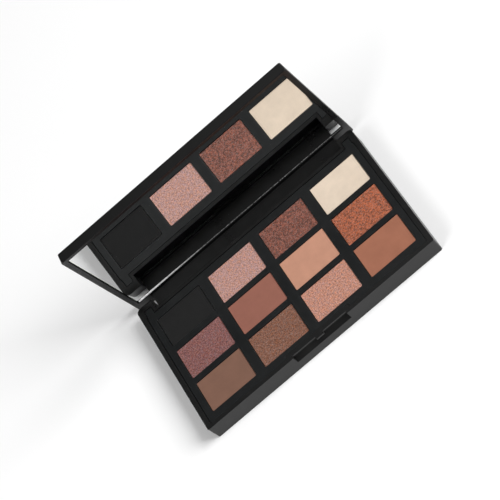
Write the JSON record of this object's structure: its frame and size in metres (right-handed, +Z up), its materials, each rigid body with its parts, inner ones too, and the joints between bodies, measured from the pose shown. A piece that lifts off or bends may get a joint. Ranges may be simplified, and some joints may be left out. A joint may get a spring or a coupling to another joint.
{
  "type": "eyeshadow palette",
  "caption": "slim rectangular make-up compact with a mirrored lid on a full-width rear hinge, framed rectangular pans of pressed powder and a thumb scoop in the front wall",
  "frame": {"origin": "centre of the flat underside of the base", "axes": "+X runs along the hinge to the right as seen from the front, +Y points to the hinge at the rear, +Z is up"},
  "size_m": [0.13, 0.0898, 0.0782],
  "materials": {
    "base_plastic": "moulded black plastic, satin gloss",
    "platform_plastic": "moulded black plastic, fine matt texture",
    "lid_plastic": "moulded black plastic, satin gloss",
    "mirror": "silvered glass with a small ground edge",
    "mirror_tape": "double-sided foam tape",
    "glue": "clear hot-melt glue",
    "pan_metal": "thin drawn pan",
    "pin_steel": "drawn steel wire",
    "powder_black_matte": "pressed powder, matt",
    "powder_pink_champagne_shimmer": "pressed powder with fine pearl, soft sheen",
    "powder_mauve_brown_glitter": "pressed powder with coarse sparkle",
    "powder_cream_matte": "pressed powder, matt",
    "powder_plum_shimmer": "pressed powder with fine pearl, soft sheen",
    "powder_rosy_brown_matte": "pressed powder, matt",
    "powder_peach_nude_matte": "pressed powder, matt",
    "powder_copper_glitter": "pressed powder with coarse sparkle",
    "powder_taupe_brown_matte": "pressed powder, matt",
    "powder_bronze_brown_shimmer": "pressed powder with fine pearl, soft sheen",
    "powder_rose_gold_shimmer": "pressed powder with fine pearl, soft sheen",
    "powder_terracotta_matte": "pressed powder, matt"
  },
  "bodies": {
    "base": {"base_shell": "base_plastic", "pan_platform": "platform_plastic", "pan_row1_col1": "pan_metal", "pan_row1_col2": "pan_metal", "pan_row1_col3": "pan_metal", "pan_row1_col4": "pan_metal", "pan_row2_col1": "pan_metal", "pan_row2_col2": "pan_metal", "pan_row2_col3": "pan_metal", "pan_row2_col4": "pan_metal", "pan_row3_col1": "pan_metal", "pan_row3_col2": "pan_metal", "pan_row3_col3": "pan_metal", "pan_row3_col4": "pan_metal", "powder_row1_col1": "powder_black_matte", "powder_row1_col2": "powder_pink_champagne_shimmer", "powder_row1_col3": "powder_mauve_brown_glitter", "powder_row1_col4": "powder_cream_matte", "powder_row2_col1": "powder_plum_shimmer", "powder_row2_col2": "powder_rosy_brown_matte", "powder_row2_col3": "powder_peach_nude_matte", "powder_row2_col4": "powder_copper_glitter", "powder_row3_col1": "powder_taupe_brown_matte", "powder_row3_col2": "powder_bronze_brown_shimmer", "powder_row3_col3": "powder_rose_gold_shimmer", "powder_row3_col4": "powder_terracotta_matte", "pan_glue_dots": "glue", "hinge_pin_left": "pin_steel", "hinge_pin_right": "pin_steel"},
    "lid": {"lid_shell": "lid_plastic", "mirror_glass": "mirror", "mirror_tape": "mirror_tape"}
  },
  "joints": [
    {"name": "lid_hinge", "type": "hinge", "parent": "base", "child": "lid", "pos_m": [0, 0.0363, 0.00165], "axis": [-1, 0, 0], "range_deg": [-79.2, 0]}
  ]
}
